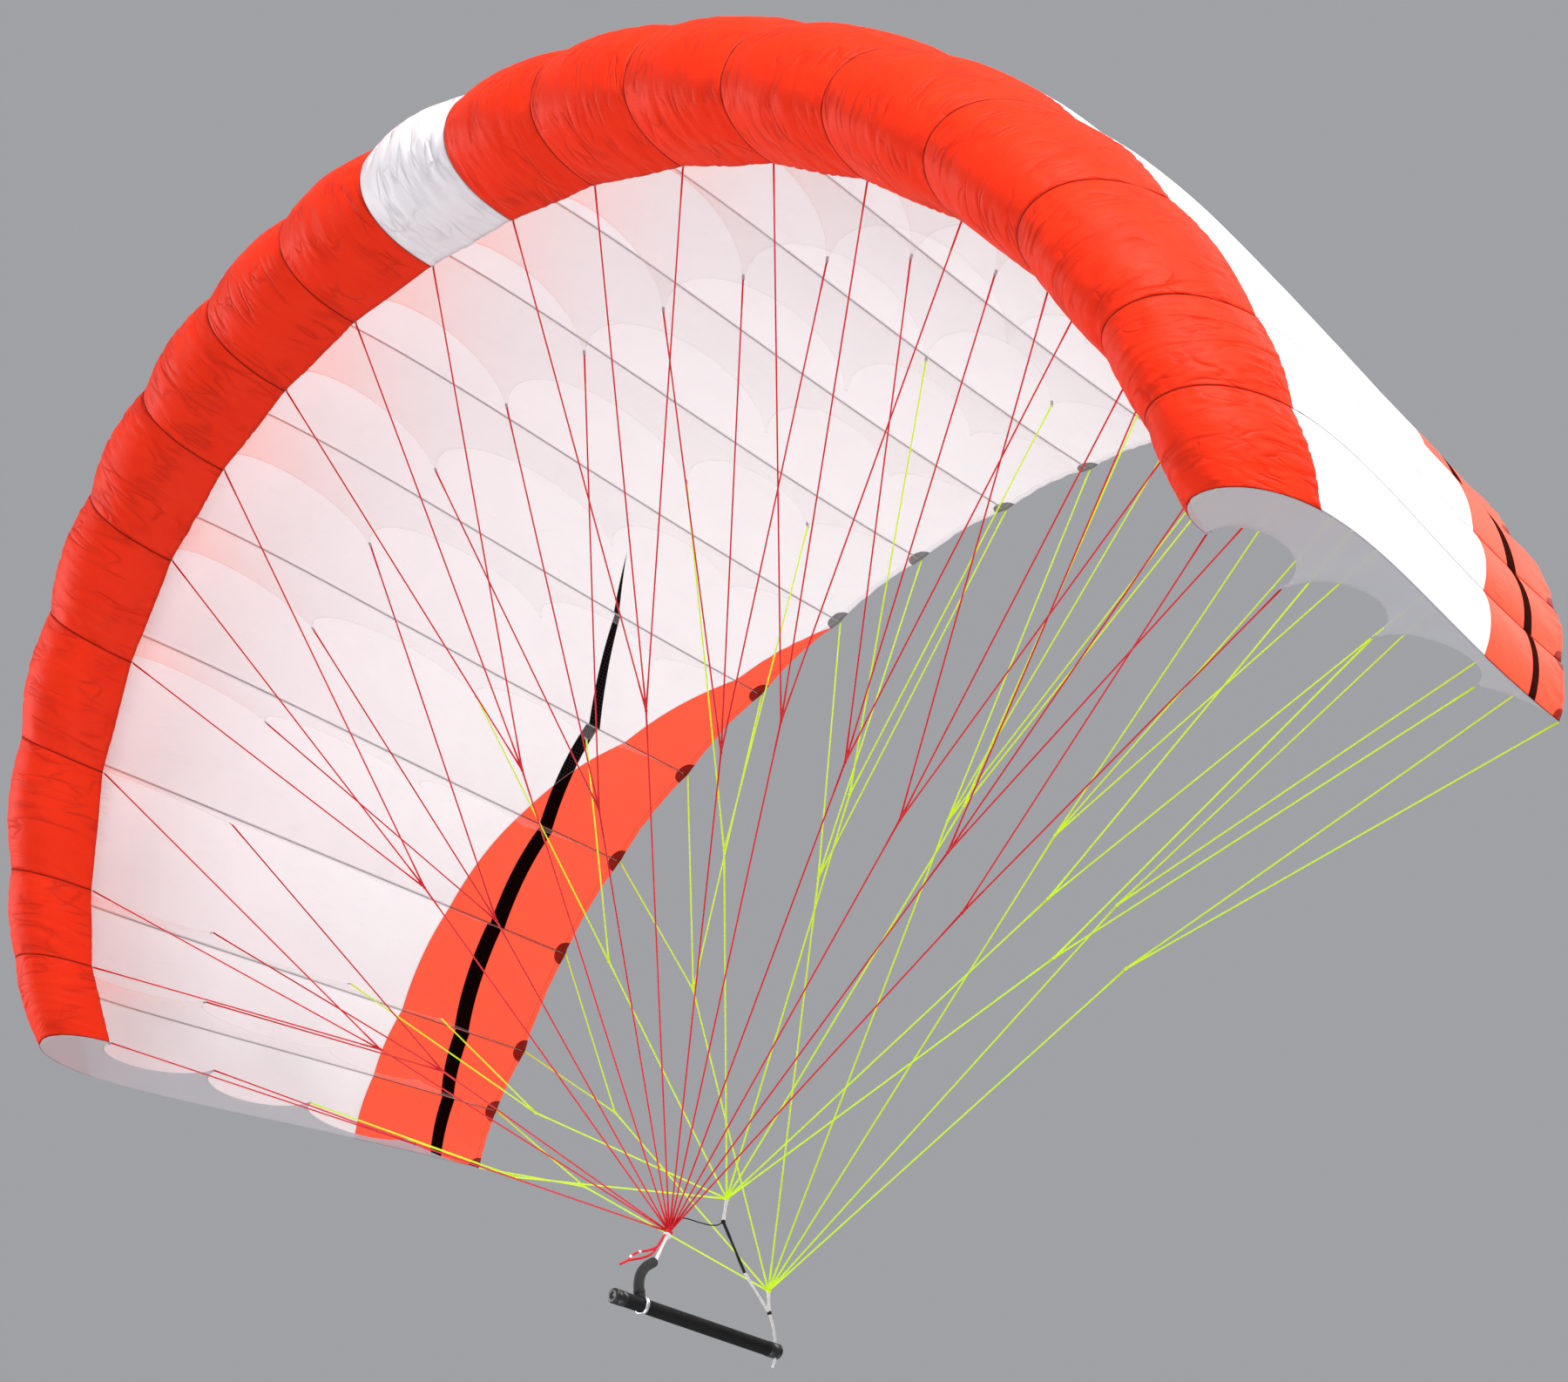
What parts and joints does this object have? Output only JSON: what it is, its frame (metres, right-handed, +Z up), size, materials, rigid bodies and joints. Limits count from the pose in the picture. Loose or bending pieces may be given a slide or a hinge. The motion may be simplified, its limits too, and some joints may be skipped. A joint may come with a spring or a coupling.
{
  "type": "parawing",
  "caption": "Single-skin soft wing with scalloped ribs, flown on cascaded lines from a short hand-held bar.",
  "frame": {"origin": "middle of the hand bar, on its axis", "axes": "+Z up toward the crown of the wing, -Y the way it flies (leading edge), X along the span; the bar lies along Y"},
  "size_m": [2.8856, 1.5336, 2.0363],
  "materials": {
    "skin_nylon": "ripstop skin, red and white panels",
    "centre_nylon": "white ripstop skin",
    "rib_nylon": "translucent grey-white ripstop",
    "red_line": "coated braided line",
    "lime_line": "coated braided line",
    "white_line": "braided line",
    "black_line": "braided line and sewn joints",
    "grip_foam": "knurled foam grip",
    "cap_plastic": "moulded end caps",
    "strap_sleeve": "padded woven sleeve",
    "collar_steel": "polished ring"
  },
  "bodies": {
    "root": {"brake_joint": "black_line", "brake_lines": "lime_line", "brake_riser": "white_line", "cap_front": "cap_plastic", "cap_rear": "cap_plastic", "cell_L1": "skin_nylon", "cell_L2": "skin_nylon", "cell_L3": "skin_nylon", "cell_L4": "skin_nylon", "cell_L5": "skin_nylon", "cell_L6": "skin_nylon", "cell_L7": "skin_nylon", "cell_L8": "skin_nylon", "cell_L9": "skin_nylon", "cell_R1": "skin_nylon", "cell_R2": "skin_nylon", "cell_R3": "skin_nylon", "cell_R4": "skin_nylon", "cell_R5": "skin_nylon", "cell_R6": "skin_nylon", "cell_R7": "skin_nylon", "cell_R8": "skin_nylon", "cell_R9": "skin_nylon", "cell_centre": "centre_nylon", "collar": "collar_steel", "front_lines": "red_line", "front_ring": "white_line", "front_riser": "white_line", "grip": "grip_foam", "leader": "white_line", "pigtail": "red_line", "rear_joint": "black_line", "rear_lines": "lime_line", "rear_riser": "white_line", "rib_L1": "rib_nylon", "rib_L10": "rib_nylon", "rib_L2": "rib_nylon", "rib_L3": "rib_nylon", "rib_L4": "rib_nylon", "rib_L5": "rib_nylon", "rib_L6": "rib_nylon", "rib_L7": "rib_nylon", "rib_L8": "rib_nylon", "rib_L9": "rib_nylon", "rib_R1": "rib_nylon", "rib_R10": "rib_nylon", "rib_R2": "rib_nylon", "rib_R3": "rib_nylon", "rib_R4": "rib_nylon", "rib_R5": "rib_nylon", "rib_R6": "rib_nylon", "rib_R7": "rib_nylon", "rib_R8": "rib_nylon", "rib_R9": "rib_nylon", "strap": "strap_sleeve", "thin_line": "black_line", "trim_line_black": "black_line", "trim_line_white": "white_line"}
  },
  "joints": []
}
